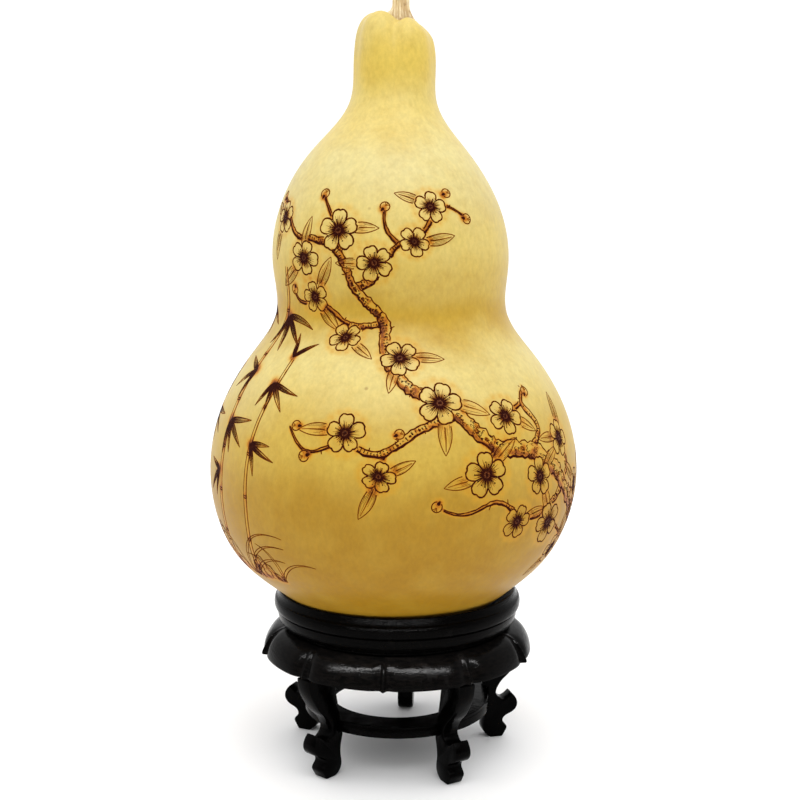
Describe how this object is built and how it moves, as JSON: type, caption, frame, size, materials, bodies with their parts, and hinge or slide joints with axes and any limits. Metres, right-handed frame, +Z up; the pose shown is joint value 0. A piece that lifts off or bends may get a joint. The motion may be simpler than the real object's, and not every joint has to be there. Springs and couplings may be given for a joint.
{
  "type": "dried bottle gourd",
  "caption": "Dried bottle gourd with its stem and a burnt plant drawing, resting upright in a black turned wooden stand with a lobed apron, carved legs and a stretcher ring.",
  "frame": {"origin": "on the floor, on the axis of the stand, in the middle of its feet", "axes": "+Z up along the stand's axis, -Y towards the front that the picture shows, +X to the viewer's right"},
  "size_m": [0.1746, 0.1746, 0.3836],
  "materials": {
    "gourd_skin": "smooth satin dried rind with burnt brown lines",
    "gourd_stem": "dry ribbed fibre, matt",
    "black_wood": "semi-gloss black lacquer on turned and carved wood"
  },
  "bodies": {
    "root": {"gourd": "gourd_skin", "stem": "gourd_stem", "stand_seat": "black_wood", "stand_apron": "black_wood", "stand_leg_1": "black_wood", "stand_leg_2": "black_wood", "stand_leg_3": "black_wood", "stand_leg_4": "black_wood", "stand_leg_5": "black_wood", "stand_stretcher": "black_wood"}
  },
  "joints": []
}
